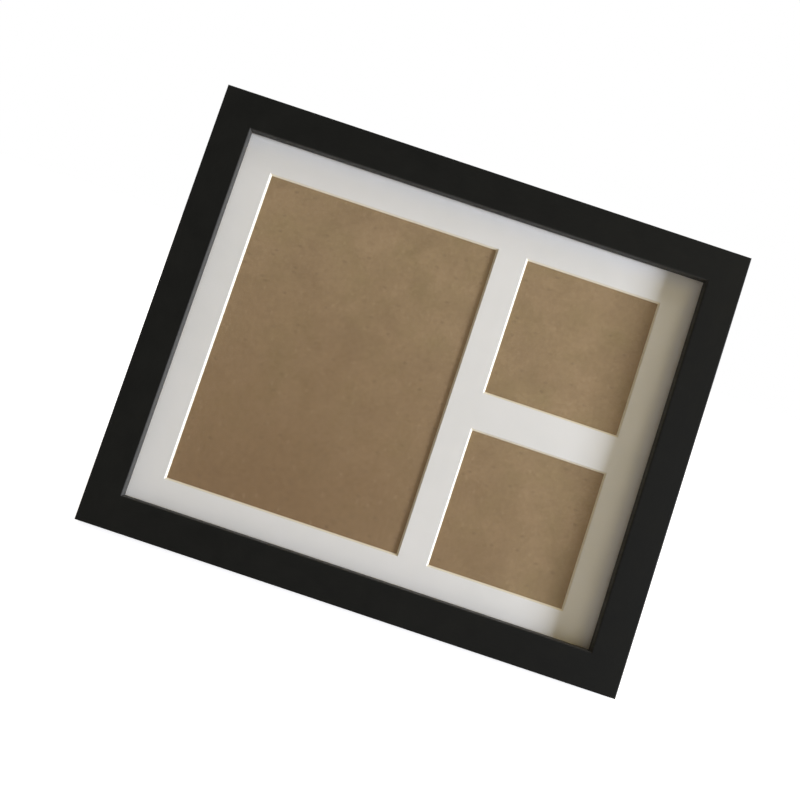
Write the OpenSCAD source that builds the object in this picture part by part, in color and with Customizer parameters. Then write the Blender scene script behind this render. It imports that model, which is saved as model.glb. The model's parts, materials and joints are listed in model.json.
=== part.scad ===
// Multi-aperture picture frame, standing on its easel strut.
// X runs to the viewer's right, Y from the face to the back, Z up. The upright frame is
// drawn with its face at y = 0 and its lower edge at z = 0, and lean_back() then stands it.

/* [Frame] */
// Width over the outer edges
frame_w = 292; // [270:1:420]
// Height over the outer edges
frame_h = 241; // [225:1:340]
// Width of each rail's face
rail_w = 19; // [17:0.5:24]
// Depth of the lip in front of the pane
lip_depth = 6; // [4:0.5:10]
// Width of the rebate behind the lip
rebate_w = 6; // [4:0.5:7]
// Radius of the rails' front edges
edge_r = 0.8; // [0.4:0.1:1.5]
// Angle by which the standing frame leans back
lean = 13; // [9:1:18]

/* [Pane, mount and board] */
// Thickness of the glazing pane
pane_t = 2; // [1:0.1:3]
// Thickness of the window mount
mount_t = 1; // [0.8:0.1:2.5]
// Thickness of the backing board
board_t = 3.5; // [2.4:0.1:5]
// Gap between the rebate's wall and the sheets that lie in it
sheet_gap = 0.3; // [0.1:0.1:1]

/* [Apertures] */
// Mount seen to the left of the large aperture
left_margin = 16.8; // [10:0.1:25]
// Mount seen to the right of the small apertures
right_margin = 19; // [10:0.5:25]
// Mount seen above the apertures
top_margin = 18; // [14:0.5:25]
// Mount seen below the apertures
bottom_margin = 15; // [10:0.5:25]
// Width of the large aperture
large_w = 127; // [90:1:140]
// Strip of mount between the large aperture and the small ones
column_gap = 17.7; // [8:0.1:25]
// Strip of mount between the two small apertures
row_gap = 21.5; // [8:0.5:30]

/* [Turn buttons] */
// Thickness of a turn button
button_t = 1.2; // [0.8:0.1:2]
// Radius of the button round its screw
button_head_r = 4.5; // [3.8:0.1:5.5]
// Radius of the button's tip
button_tip_r = 2.6; // [1.5:0.1:3.5]
// Length from the screw to the centre of the tip's round
button_reach = 13; // [10:0.5:18]
// Distance of the buttons on the long rails from the middle of the frame
long_rail_button = 78; // [50:1:95]
// Distance of the buttons on the short rails from the middle of the frame
short_rail_button = 58; // [40:1:75]
// Radius of the screw's shank
screw_r = 1.5; // [1:0.1:1.8]
// Length of the screw in the rail
screw_grip = 8; // [5:0.5:10]
// Radius of the screw's head
screw_head_r = 3; // [2.5:0.1:3.5]
// Height of the screw's head
screw_head_h = 1.7; // [1.2:0.1:2.5]

/* [Strut] */
// Distance of the strut's hinge pin below the frame's upper edge
hinge_drop = 38; // [35:1:80]
// Angle between the opened leg and the board
strut_swing = 24; // [19:1:30]
// Thickness of the leg
leg_t = 3; // [2:0.1:5]
// Width of the leg at the hinge
leg_top_w = 38; // [36:1:60]
// Width of the leg at the foot
leg_foot_w = 76; // [60:1:100]
// Radius of the leg's upper corners
leg_corner_r = 5; // [2:0.5:8]
// Thickness of the hinge leaves
leaf_t = 0.8; // [0.6:0.1:1.2]
// Width of the hinge leaves
leaf_w = 34; // [30:1:36]
// Radius of the hinge leaves' free corners
leaf_corner_r = 2; // [0.5:0.5:3]
// Length of the leaf on the board
board_leaf_l = 21; // [18:0.5:22]
// Length of the leaf on the leg
leg_leaf_l = 30; // [22:0.5:40]
// Radius of the hinge pin
pin_r = 1.2; // [0.8:0.1:1.4]
// Outer radius of the hinge knuckles
knuckle_r = 2.1; // [1.9:0.1:2.6]
// Length of the middle knuckle
mid_knuckle_l = 13; // [11:0.5:15]
// Width of the stop tongue
tongue_w = 9; // [6:0.5:10]
// Length of the stop tongue above the pin
tongue_l = 10; // [6:0.5:14]
// Radius of the rivets' shanks
rivet_r = 1.5; // [1:0.1:1.8]
// Radius of the rivets' domed heads
rivet_head_r = 2.6; // [2.2:0.1:3]
// Height of the rivets' domed heads
rivet_head_h = 1.1; // [0.8:0.1:1.5]
// Radius of the rivets' clenched ends
clench_r = 2.4; // [2.1:0.1:2.8]
// Distance between the rivets across a leaf
rivet_span = 23; // [20:0.5:25]

/* [Hangers] */
// Length of a sawtooth hanger
hanger_l = 45; // [38:1:60]
// Width of a sawtooth hanger
hanger_w = 9; // [7:0.5:10]
// Thickness of a sawtooth hanger
hanger_t = 0.8; // [0.5:0.1:1.2]
// Height by which the toothed part stands off the rail
hanger_rise = 1.8; // [1.2:0.1:2.5]
// Length of each flat end
hanger_end_l = 8; // [7:0.5:10]
// Number of notches in the toothed edge
notch_count = 7; // [3:1:7]
// Distance from notch to notch
notch_pitch = 2.8; // [2:0.1:3]
// Depth of a notch
notch_depth = 1.6; // [1:0.1:2]
// Radius of a hanger nail's shank
nail_r = 0.8; // [0.5:0.1:1]
// Length of a hanger nail in the rail
nail_grip = 7; // [5:0.5:10]
// Radius of a hanger nail's head
nail_head_r = 1.9; // [1.5:0.1:2.5]
// Height of a hanger nail's head
nail_head_h = 0.6; // [0.4:0.1:1]

/* [V-nails] */
// Length of each wing of a V-nail
wing_l = 4; // [3:0.1:4.5]
// Thickness of a V-nail
wing_t = 0.6; // [0.4:0.1:0.8]
// Depth to which a V-nail is driven
v_nail_depth = 7; // [4:0.5:9]
// Distance from the outer corner to the first V-nail, along each rail
first_v_nail = 2.2; // [1.5:0.1:3]
// Step from one V-nail to the next, along each rail
v_nail_step = 4; // [3.5:0.1:4.4]

/* [Hidden] */
$fn = 48;

// Overrun of every cut, running gap of every moving fit, and gap of every fixed fit
cut = 0.5;
run_gap = 0.06;
fixed_gap = 0.02;

// Levels from the face to the back
mount_front = lip_depth + pane_t;
board_front = mount_front + mount_t;
frame_d = board_front + board_t;

// The wood behind the lip, the opening in front of the pane, and the sheets in the rebate
back_w = rail_w - rebate_w;
sight_w = frame_w - 2 * rail_w;
sight_h = frame_h - 2 * rail_w;
sheet_w = sight_w + 2 * (rebate_w - sheet_gap);
sheet_h = sight_h + 2 * (rebate_w - sheet_gap);

// Apertures at the back of the mount: [left, bottom, width, height]
small_w = sight_w - left_margin - right_margin - large_w - column_gap;
large_h = sight_h - top_margin - bottom_margin;
small_h = (large_h - row_gap) / 2;
large_x = left_margin - sight_w / 2;
small_x = large_x + large_w + column_gap;
low_z = rail_w + bottom_margin;
apertures = [
  [large_x, low_z, large_w, large_h],
  [small_x, low_z, small_w, small_h],
  [small_x, low_z + small_h + row_gap, small_w, small_h]
];

// Turn buttons: [place across, place up, turn about Y that points the arm to the middle]
long_z = frame_h - back_w / 2;
short_x = frame_w / 2 - back_w / 2;
button_places = [
  [-long_rail_button, long_z, 180],
  [long_rail_button, long_z, 180],
  [-long_rail_button, back_w / 2, 0],
  [long_rail_button, back_w / 2, 0],
  [-short_x, frame_h / 2 + short_rail_button, 90],
  [-short_x, frame_h / 2 - short_rail_button, 90],
  [short_x, frame_h / 2 + short_rail_button, -90],
  [short_x, frame_h / 2 - short_rail_button, -90]
];
screw_seat = frame_d + button_t + 2 * run_gap;
screw_tip = frame_d - screw_grip;
point_share = 1.6;
dome_share = 0.6;
recess_w_share = 0.33;
recess_l_share = 1.2;
recess_depth_share = 0.55;

// Strut hinge: the leg leaf and the leg lie at these depths when the strut is folded
hinge_z = frame_h - hinge_drop;
fold_gap = 3 * run_gap;
knuckle_gap = 5 * run_gap;
pivot_y = frame_d + knuckle_r + fold_gap;
leg_leaf_y = frame_d + fold_gap;
leg_y = leg_leaf_y + leaf_t;
leg_top_z = hinge_z - knuckle_r - knuckle_r / 2;
side_knuckle_l = (leaf_w - mid_knuckle_l) / 2 - knuckle_gap;
tongue_y = frame_d + leaf_t + run_gap;
board_row_shares = [0.38, 0.78];
leg_row_shares = [0.36, 0.76];
board_rivet_z = [for (share = board_row_shares) hinge_z + board_leaf_l * share];
leg_rivet_z = [for (share = leg_row_shares) hinge_z - leg_leaf_l * share];

// The opened leg reaches from the pin, which stands pivot_up above the ground, to the ground
pivot_up = hinge_z * cos(lean) - (pivot_y - frame_d) * sin(lean);
pivot_back = pivot_y * cos(lean) + hinge_z * sin(lean);
leg_slope = strut_swing - lean;
leg_l = pivot_up / cos(leg_slope);
leg_back = leg_y + leg_t - pivot_y;

// Hangers: [place across, place up, turn about Y that points the notches down when hung]
hanger_places = [
  [0, long_z, 0],
  [-short_x, frame_h / 2, -90]
];
nail_place = hanger_l / 2 - hanger_end_l / 2;
notch_share = 0.45;

// The standing frame: its lowest edge on the ground and its footprint centred
front_y = edge_r * (cos(lean) + sin(lean) - 1);
foot_y = pivot_back + pivot_up * tan(leg_slope) + leg_back / cos(leg_slope);
stand_y = (front_y + foot_y) / 2;
stand_z = frame_d * sin(lean);

module lean_back() {
  translate([0, -stand_y, stand_z])
    rotate([-lean, 0, 0])
      children();
}

// A flat outline in X and Z, given thickness t from depth y towards the back
module sheet(y, t) {
  translate([0, y + t, 0])
    rotate([90, 0, 0])
      linear_extrude(height = t)
        children();
}

// A round shape about Y, its outline drawn as radius and depth
module about_y() {
  rotate([-90, 0, 0])
    rotate_extrude()
      children();
}

// Puts its children at a place of a table: [across, up, turn about Y]
module at_place(place) {
  translate([place[0], 0, place[1]])
    rotate([0, place[2], 0])
      children();
}

// Rail section: width in from the outer edge, and depth back from the face
module rail_section() {
  translate([edge_r, 0])
    square([rail_w - 2 * edge_r, lip_depth]);
  translate([0, edge_r])
    square([rail_w, lip_depth - edge_r]);
  translate([0, edge_r])
    square([back_w, frame_d - edge_r]);
  for (u = [edge_r, rail_w - edge_r])
    translate([u, edge_r])
      circle(r = edge_r);
}

// A rail along X with its outer edge at z = 0, mitred at both ends
module straight_rail(length) {
  intersection() {
    translate([-length / 2, 0, 0])
      rotate([90, 0, 90])
        linear_extrude(height = length)
          rotate(90)
            mirror([0, 1])
              rail_section();
    sheet(-cut, frame_d + 2 * cut)
      polygon([
        [-length / 2, 0],
        [length / 2, 0],
        [length / 2 - rail_w, rail_w],
        [rail_w - length / 2, rail_w]
      ]);
  }
}

// V-nail: an angle of two wings, with a short return at each end
module v_nail(gap) {
  wall = wing_t + 2 * gap;
  wing = wing_l + 2 * gap;
  return_l = 2 * wing_t + 2 * gap;
  drive = v_nail_depth + gap;
  translate([-gap, frame_d - v_nail_depth - gap, -gap]) {
    cube([wing, drive, wall]);
    cube([wall, drive, wing]);
    translate([wing_l - wing_t, 0, 0])
      cube([wall, drive, return_l]);
    translate([0, 0, wing_l - wing_t])
      cube([return_l, drive, wall]);
  }
}

module v_nails(gap) {
  for (side = [0, 1], level = [0, 1], i = [0, 1]) {
    step = first_v_nail + i * v_nail_step;
    mirror([side, 0, 0])
      translate([step - frame_w / 2, 0, level * frame_h])
        mirror([0, 0, level])
          translate([0, 0, step])
            v_nail(gap);
  }
}

// Hole for a screw or a nail, down to its point
module fixing_hole(r, grip, point_l) {
  hole_r = r + fixed_gap;
  bottom = frame_d - grip - fixed_gap;
  about_y()
    polygon([
      [0, bottom],
      [hole_r, bottom + point_l],
      [hole_r, frame_d + hanger_t + cut],
      [0, frame_d + hanger_t + cut]
    ]);
}

module drilled_rail() {
  color([0.15, 0.15, 0.14]) lean_back()
    difference() {
      children();
      for (place = button_places)
        at_place(place)
          fixing_hole(screw_r, screw_grip, screw_r * point_share);
      for (place = hanger_places, side = [-1, 1])
        at_place(place)
          translate([side * nail_place, 0, 0])
            fixing_hole(nail_r, nail_grip, nail_r * point_share);
      v_nails(fixed_gap);
    }
}

module top_rail() {
  drilled_rail()
    translate([0, 0, frame_h])
      mirror([0, 0, 1])
        straight_rail(frame_w);
}

module bottom_rail() {
  drilled_rail()
    straight_rail(frame_w);
}

module left_rail() {
  drilled_rail()
    translate([-frame_w / 2, 0, frame_h / 2])
      rotate([0, 90, 0])
        straight_rail(frame_h);
}

module right_rail() {
  drilled_rail()
    translate([frame_w / 2, 0, frame_h / 2])
      rotate([0, -90, 0])
        straight_rail(frame_h);
}

module corner_v_nails() {
  color([0.6, 0.6, 0.62]) lean_back()
    v_nails(0);
}

// A sheet that fills the rebate
module rebate_sheet(y, t) {
  translate([-sheet_w / 2, y, (frame_h - sheet_h) / 2])
    cube([sheet_w, t, sheet_h]);
}

module glazing_pane() {
  color([0.85, 0.9, 0.92, 0.3]) lean_back()
    rebate_sheet(lip_depth, pane_t);
}

// Outline of a bevelled hole across the mount: wider towards the face by the mount's thickness
function bevel_outline(low, high) = [
  [low - mount_t - cut, mount_front - cut],
  [low, board_front],
  [low, board_front + cut],
  [high, board_front + cut],
  [high, board_front],
  [high + mount_t + cut, mount_front - cut]
];

module bevelled_hole(place) {
  margin = mount_t + 2 * cut;
  left = place[0];
  low = place[1];
  right = left + place[2];
  high = low + place[3];
  intersection() {
    translate([0, 0, low - margin])
      linear_extrude(height = high - low + 2 * margin)
        polygon(bevel_outline(left, right));
    translate([left - margin, 0, 0])
      rotate([90, 0, 90])
        linear_extrude(height = right - left + 2 * margin)
          polygon([for (p = bevel_outline(low, high)) [p[1], p[0]]]);
  }
}

module window_mount() {
  color([0.93, 0.92, 0.9]) lean_back()
    difference() {
      rebate_sheet(mount_front, mount_t);
      for (place = apertures)
        bevelled_hole(place);
    }
}

// Rivet: its clenched end is flush at depth front, and its domed head sits on depth seat
module rivet(front, seat) {
  dome_r = (pow(rivet_head_r, 2) + pow(rivet_head_h, 2)) / (2 * rivet_head_h);
  about_y() {
    polygon([
      [0, front],
      [clench_r, front],
      [rivet_r, front + leaf_t],
      [rivet_r, seat],
      [0, seat]
    ]);
    intersection() {
      translate([0, seat + rivet_head_h - dome_r])
        circle(r = dome_r);
      translate([0, seat])
        square([rivet_head_r, rivet_head_h]);
    }
  }
}

// Hole for a rivet, from its clenched end through to depth back
module rivet_hole(front, back) {
  about_y()
    polygon([
      [0, front - cut],
      [clench_r + fixed_gap, front - cut],
      [clench_r + fixed_gap, front],
      [rivet_r + fixed_gap, front + leaf_t],
      [rivet_r + fixed_gap, back + cut],
      [0, back + cut]
    ]);
}

// Puts its children at the four rivets of a leaf, two in each row
module at_rivets(rows) {
  for (side = [-1, 1], z = rows)
    translate([side * rivet_span / 2, 0, z])
      children();
}

module backing_board() {
  color([0.57, 0.49, 0.36]) lean_back()
    difference() {
      rebate_sheet(board_front, board_t);
      at_rivets(board_rivet_z)
        rivet_hole(board_front, frame_d);
    }
}

// Outline of two circles and the flanks that touch both, the second circle along +Z
module tapered_link(r1, r2, reach) {
  slope = asin((r1 - r2) / reach);
  circle(r = r1);
  translate([0, reach])
    circle(r = r2);
  polygon([
    [r1 * cos(slope), r1 * sin(slope)],
    [r2 * cos(slope), reach + r2 * sin(slope)],
    [-r2 * cos(slope), reach + r2 * sin(slope)],
    [-r1 * cos(slope), r1 * sin(slope)]
  ]);
}

module turn_button(place) {
  color([0.75, 0.75, 0.76]) lean_back()
    at_place(place)
      sheet(frame_d + run_gap, button_t)
        difference() {
          tapered_link(button_head_r, button_tip_r, button_reach);
          circle(r = screw_r + run_gap);
        }
}

module top_left_turn_button() {
  turn_button(button_places[0]);
}

module top_right_turn_button() {
  turn_button(button_places[1]);
}

module bottom_left_turn_button() {
  turn_button(button_places[2]);
}

module bottom_right_turn_button() {
  turn_button(button_places[3]);
}

module left_upper_turn_button() {
  turn_button(button_places[4]);
}

module left_lower_turn_button() {
  turn_button(button_places[5]);
}

module right_upper_turn_button() {
  turn_button(button_places[6]);
}

module right_lower_turn_button() {
  turn_button(button_places[7]);
}

// A screw with a domed head and a cross recess, its head just clear of the button
module button_screw() {
  top = screw_seat + screw_head_h;
  dome_r = screw_head_h * dome_share;
  recess = [screw_head_r * recess_l_share, screw_head_h * recess_depth_share, screw_head_r * recess_w_share];
  difference() {
    about_y() {
      polygon([
        [0, screw_tip],
        [screw_r, screw_tip + screw_r * point_share],
        [screw_r, screw_seat],
        [screw_head_r, screw_seat],
        [screw_head_r, top - dome_r],
        [screw_head_r - dome_r, top],
        [0, top]
      ]);
      intersection() {
        translate([screw_head_r - dome_r, top - dome_r])
          circle(r = dome_r);
        translate([0, screw_seat])
          square([screw_head_r, screw_head_h]);
      }
    }
    for (turn = [0, 90])
      rotate([0, turn, 0])
        translate([-recess[0] / 2, top - recess[1], -recess[2] / 2])
          cube([recess[0], recess[1] + cut, recess[2]]);
  }
}

module turn_button_screws() {
  color([0.75, 0.74, 0.7]) lean_back()
    for (place = button_places)
      at_place(place)
        button_screw();
}

// Turns what is drawn folded against the board about the pin, to the opened position
module open_strut() {
  translate([0, pivot_y, hinge_z])
    rotate([strut_swing, 0, 0])
      translate([0, -pivot_y, -hinge_z])
        children();
}

// Leg: tapered, with round upper corners, and longer than it stands
module leg_outline() {
  bottom = hinge_z - leg_l - leg_t;
  difference() {
    polygon([
      [-leg_top_w / 2, leg_top_z],
      [leg_top_w / 2, leg_top_z],
      [leg_foot_w / 2, bottom],
      [-leg_foot_w / 2, bottom]
    ]);
    for (side = [0, 1])
      mirror([side, 0])
        translate([leg_top_w / 2 - leg_corner_r, leg_top_z - leg_corner_r])
          difference() {
            square(leg_corner_r + cut);
            circle(r = leg_corner_r);
          }
  }
}

module strut_leg() {
  color([0.57, 0.49, 0.36])
    difference() {
      lean_back() open_strut()
        difference() {
          sheet(leg_y, leg_t)
            leg_outline();
          at_rivets(leg_rivet_z)
            rivet_hole(leg_leaf_y, leg_y + leg_t);
        }
      translate([-leg_foot_w, 0, -leg_l])
        cube([2 * leg_foot_w, foot_y, leg_l]);
    }
}

// A length of the round about the hinge pin's axis
module on_pin(x, length, r) {
  translate([x, pivot_y, hinge_z])
    rotate([0, 90, 0])
      cylinder(r = r, h = length);
}

// Outline of a leaf whose free corners, at z = length, are round
module leaf_outline(length) {
  translate([-leaf_w / 2, 0])
    square([leaf_w, length - leaf_corner_r]);
  translate([leaf_corner_r - leaf_w / 2, 0])
    square([leaf_w - 2 * leaf_corner_r, length]);
  for (side = [-1, 1])
    translate([side * (leaf_w / 2 - leaf_corner_r), length - leaf_corner_r])
      circle(r = leaf_corner_r);
}

// Leaf riveted to the board, with the two outer knuckles
module strut_board_leaf() {
  notch_w = mid_knuckle_l + 2 * knuckle_gap;
  color([0.7, 0.7, 0.72]) lean_back()
    difference() {
      union() {
        translate([0, 0, hinge_z])
          sheet(frame_d, leaf_t)
            leaf_outline(board_leaf_l);
        for (x = [-leaf_w / 2, leaf_w / 2 - side_knuckle_l])
          on_pin(x, side_knuckle_l, knuckle_r);
      }
      translate([-notch_w / 2, frame_d - cut, hinge_z - cut])
        cube([notch_w, 2 * knuckle_r, knuckle_r + knuckle_gap + cut]);
      on_pin(-leaf_w, 2 * leaf_w, pin_r + fixed_gap);
      at_rivets(board_rivet_z)
        rivet_hole(board_front, frame_d + leaf_t);
    }
}

// Leaf riveted to the leg, with the middle knuckle and the tongue that stops the leg
module strut_leg_leaf() {
  clear = knuckle_r + knuckle_gap;
  color([0.7, 0.7, 0.72]) lean_back()
    difference() {
      union() {
        open_strut()
          difference() {
            translate([0, 0, hinge_z])
              mirror([0, 0, 1])
                sheet(leg_leaf_y, leaf_t)
                  leaf_outline(leg_leaf_l);
            for (side = [0, 1])
              mirror([side, 0, 0])
                translate([mid_knuckle_l / 2, leg_leaf_y - cut, hinge_z - clear])
                  cube([leaf_w / 2, leaf_t + 2 * cut, clear + cut]);
            at_rivets(leg_rivet_z)
              rivet_hole(leg_leaf_y, leg_y);
          }
        on_pin(-mid_knuckle_l / 2, mid_knuckle_l, knuckle_r);
        translate([-tongue_w / 2, tongue_y, hinge_z])
          cube([tongue_w, leaf_t, tongue_l]);
      }
      on_pin(-leaf_w, 2 * leaf_w, pin_r + run_gap);
    }
}

module strut_hinge_pin() {
  color([0.55, 0.55, 0.57]) lean_back()
    on_pin(-leaf_w / 2, leaf_w, pin_r);
}

module strut_board_rivets() {
  color([0.8, 0.79, 0.76]) lean_back()
    at_rivets(board_rivet_z)
      rivet(board_front, frame_d + leaf_t);
}

module strut_leg_rivets() {
  color([0.8, 0.79, 0.76]) lean_back() open_strut()
    at_rivets(leg_rivet_z)
      rivet(leg_leaf_y, leg_y + leg_t);
}

// A sawtooth hanger along X: flat ends, a raised middle, and notches in its lower edge
module sawtooth_hanger() {
  half = hanger_l / 2;
  ramp = half - hanger_end_l;
  mid = ramp - hanger_rise;
  bend = hanger_t / 2;
  difference() {
    translate([0, frame_d, -hanger_w / 2])
      linear_extrude(height = hanger_w)
        polygon([
          [-half, 0],
          [-ramp, 0],
          [-mid, hanger_rise],
          [mid, hanger_rise],
          [ramp, 0],
          [half, 0],
          [half, hanger_t],
          [ramp + bend, hanger_t],
          [mid + bend, hanger_rise + hanger_t],
          [-mid - bend, hanger_rise + hanger_t],
          [-ramp - bend, hanger_t],
          [-half, hanger_t]
        ]);
    for (i = [0 : notch_count - 1])
      translate([(i - (notch_count - 1) / 2) * notch_pitch, 0, -hanger_w / 2])
        sheet(frame_d, hanger_rise + hanger_t + cut)
          polygon([
            [-notch_pitch * notch_share, -cut],
            [notch_pitch * notch_share, -cut],
            [notch_pitch * notch_share, 0],
            [0, notch_depth],
            [-notch_pitch * notch_share, 0]
          ]);
    for (side = [-1, 1])
      translate([side * nail_place, 0, 0])
        fixing_hole(nail_r, nail_grip, nail_r * point_share);
  }
}

module top_sawtooth_hanger() {
  color([0.78, 0.76, 0.72]) lean_back()
    at_place(hanger_places[0])
      sawtooth_hanger();
}

module side_sawtooth_hanger() {
  color([0.78, 0.76, 0.72]) lean_back()
    at_place(hanger_places[1])
      sawtooth_hanger();
}

module hanger_nail() {
  seat = frame_d + hanger_t;
  tip = frame_d - nail_grip;
  about_y()
    polygon([
      [0, tip],
      [nail_r, tip + nail_r * point_share],
      [nail_r, seat],
      [nail_head_r, seat],
      [nail_head_r, seat + nail_head_h],
      [0, seat + nail_head_h]
    ]);
}

module hanger_nails() {
  color([0.75, 0.72, 0.66]) lean_back()
    for (place = hanger_places, side = [-1, 1])
      at_place(place)
        translate([side * nail_place, 0, 0])
          hanger_nail();
}

top_rail();
bottom_rail();
left_rail();
right_rail();
corner_v_nails();
glazing_pane();
window_mount();
backing_board();
top_left_turn_button();
top_right_turn_button();
bottom_left_turn_button();
bottom_right_turn_button();
left_upper_turn_button();
left_lower_turn_button();
right_upper_turn_button();
right_lower_turn_button();
turn_button_screws();
strut_leg();
strut_board_leaf();
strut_leg_leaf();
strut_hinge_pin();
strut_board_rivets();
strut_leg_rivets();
top_sawtooth_hanger();
side_sawtooth_hanger();
hanger_nails();
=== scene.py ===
# Picture frame with a three-window mount: the finish of every piece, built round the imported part
import json
import math

import bmesh
import bpy
from mathutils import Matrix, Vector


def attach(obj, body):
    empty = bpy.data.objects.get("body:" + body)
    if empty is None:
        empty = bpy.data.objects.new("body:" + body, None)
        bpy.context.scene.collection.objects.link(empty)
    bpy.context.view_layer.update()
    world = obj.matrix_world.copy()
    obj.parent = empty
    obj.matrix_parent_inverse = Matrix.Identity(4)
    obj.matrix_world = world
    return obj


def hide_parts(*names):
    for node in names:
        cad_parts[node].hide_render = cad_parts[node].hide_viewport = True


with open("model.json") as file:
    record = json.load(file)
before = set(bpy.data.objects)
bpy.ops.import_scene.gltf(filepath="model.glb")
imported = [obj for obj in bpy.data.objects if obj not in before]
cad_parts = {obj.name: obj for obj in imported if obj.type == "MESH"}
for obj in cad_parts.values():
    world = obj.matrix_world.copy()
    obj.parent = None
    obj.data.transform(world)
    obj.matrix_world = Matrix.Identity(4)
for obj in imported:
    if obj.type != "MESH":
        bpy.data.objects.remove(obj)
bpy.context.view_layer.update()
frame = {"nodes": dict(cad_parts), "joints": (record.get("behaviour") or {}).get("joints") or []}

mm = 0.001
bpy.context.scene.view_settings.view_transform = "Standard"


# Places: the upright frame has its face at y = 0 and its lower edge at z = 0, and stand leans it back

def findJoint(name):
    return next(joint for joint in frame["joints"] if joint["name"] == name)


def boxIn(place, *names):    # lowest and highest corner of CAD nodes, before place puts them there
    back = place.inverted()
    corners = [back @ v.co for name in names for v in frame["nodes"][name].data.vertices]
    low = Vector([min(corner[i] for corner in corners) for i in range(3)])
    high = Vector([max(corner[i] for corner in corners) for i in range(3)])
    return low, high


def moved(x, y, z):
    return Matrix.Translation((x, y, z))


def turned(degrees, axis):
    return Matrix.Rotation(math.radians(degrees), 4, axis)


railNodes = ["top_rail", "bottom_rail", "left_rail", "right_rail"]
buttonAxis = findJoint("top_left_button_turn")["axis"]
lean = math.degrees(math.atan2(-buttonAxis[2], buttonAxis[1]))
lowCorner = boxIn(turned(-lean, "X"), *railNodes)[0]
stand = turned(-lean, "X") @ moved(0, lowCorner.y, lowCorner.z)
outerLow, outerHigh = boxIn(stand, *railNodes)
outerWidth, outerHeight = outerHigh.x - outerLow.x, outerHigh.z - outerLow.z
hinge = findJoint("strut_fold")
hingePin = stand.inverted() @ Vector(hinge["pos_m"])
swing = turned(-hinge["range_deg"][0], "X")
opened = stand @ Matrix.Translation(hingePin) @ swing @ Matrix.Translation(-hingePin)    # for the leg
print("Upright frame in mm:", [round(side / mm, 2) for side in outerHigh - outerLow])
print("It leans back by", round(lean, 2), "degrees")


# Work on meshes, one piece at a time, with nothing else selected
closeBy = 0.01 * mm                # points nearer than this count as level
weldGap = 0.002 * mm               # and nearer than this they are one
bevelAngle = math.radians(40)      # edges sharper than this are eased
smoothAngle = math.radians(35)     # and edges blunter than this are shaded smooth

def takeUp(piece):
    if bpy.context.object and bpy.context.object.mode != "OBJECT":
        bpy.ops.object.mode_set(mode="OBJECT")
    bpy.ops.object.select_all(action="DESELECT")
    if piece:
        piece.select_set(True)
    bpy.context.view_layer.objects.active = piece


def named(name):    # the primitive just added, with its place and size in its mesh
    piece = bpy.context.object
    piece.name = name
    bpy.ops.object.transform_apply(location=True, rotation=True, scale=True)
    return piece


def addBox(name, low, high):
    takeUp(None)
    bpy.ops.mesh.primitive_cube_add(size=1, location=(low + high) / 2, scale=high - low)
    return named(name)


def addRod(name, radius, low, high, vertices=32):    # a round or many-sided bar along y
    takeUp(None)
    bpy.ops.mesh.primitive_cylinder_add(
        vertices=vertices, radius=radius, depth=high.y - low.y,
        location=(low + high) / 2, rotation=(math.pi / 2, 0, 0))
    return named(name)


def pick(piece, kind, test):    # edit mode with only the verts, edges or faces that pass the test
    takeUp(piece)
    bpy.ops.object.mode_set(mode="EDIT")
    bpy.ops.mesh.select_mode(type=kind)
    bpy.ops.mesh.select_all(action="DESELECT")
    mesh = bmesh.from_edit_mesh(piece.data)
    for part in {"VERT": mesh.verts, "EDGE": mesh.edges, "FACE": mesh.faces}[kind]:
        if test(part):
            part.select_set(True)
    mesh.select_flush_mode()
    bmesh.update_edit_mesh(piece.data)


def pickAll(piece, kind="VERT"):
    pick(piece, kind, lambda part: True)


def midPoint(edge):
    return (edge.verts[0].co + edge.verts[1].co) / 2


def runsAlong(edge, axis):
    return abs((edge.verts[1].co - edge.verts[0].co).normalized()[axis]) > 0.999


def near(a, b):
    return abs(a - b) < closeBy


def liesAt(edge, depth):
    return all(near(vert.co.y, depth) for vert in edge.verts)


def applyModifier(piece, kind, **settings):
    takeUp(piece)
    modifier = piece.modifiers.new(kind, kind)
    for key, value in settings.items():
        setattr(modifier, key, value)
    bpy.ops.object.modifier_apply(modifier=modifier.name)


def cutAway(piece, *cutters):
    for cutter in cutters:
        applyModifier(piece, "BOOLEAN", operation="DIFFERENCE", solver="EXACT", object=cutter)
        bpy.data.objects.remove(cutter)


def fuse(piece, other):
    applyModifier(piece, "BOOLEAN", operation="UNION", solver="EXACT", object=other)
    bpy.data.objects.remove(other)


def easeEdges(piece, width, segments=2):
    applyModifier(
        piece, "BEVEL", width=width, segments=segments, limit_method="ANGLE", angle_limit=bevelAngle)


def turnShape(name, profile, steps=32):    # profile holds (radius, depth) points, from axis to axis
    takeUp(None)
    bpy.ops.mesh.primitive_plane_add(size=mm)
    piece = named(name)
    pickAll(piece)
    bpy.ops.mesh.merge(type="CENTER")
    pickAll(piece)
    bpy.ops.transform.translate(value=(*profile[0], 0))
    for here, there in zip(profile, profile[1:]):
        step = (there[0] - here[0], there[1] - here[1], 0)
        bpy.ops.mesh.extrude_region_move(TRANSFORM_OT_translate={"value": step})
    pickAll(piece, "EDGE")
    bpy.ops.mesh.spin(steps=steps, angle=math.tau, center=(0, 0, 0), axis=(0, 1, 0))
    weld(piece)
    return piece


def weld(piece):    # closes seams and turns the faces outwards
    pickAll(piece)
    bpy.ops.mesh.remove_doubles(threshold=weldGap)
    bpy.ops.mesh.normals_make_consistent(inside=False)
    takeUp(piece)


def arc(middle, radius, start, end, steps):    # points of an arc for a profile, by angle in degrees
    angles = [math.radians(start + (end - start) * i / steps) for i in range(steps + 1)]
    return [(middle[0] + radius * math.cos(a), middle[1] + radius * math.sin(a)) for a in angles]


def copyTo(piece, name, place):
    double = bpy.data.objects.new(name, piece.data.copy())
    bpy.context.collection.objects.link(double)
    double.data.transform(place)
    return double


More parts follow.
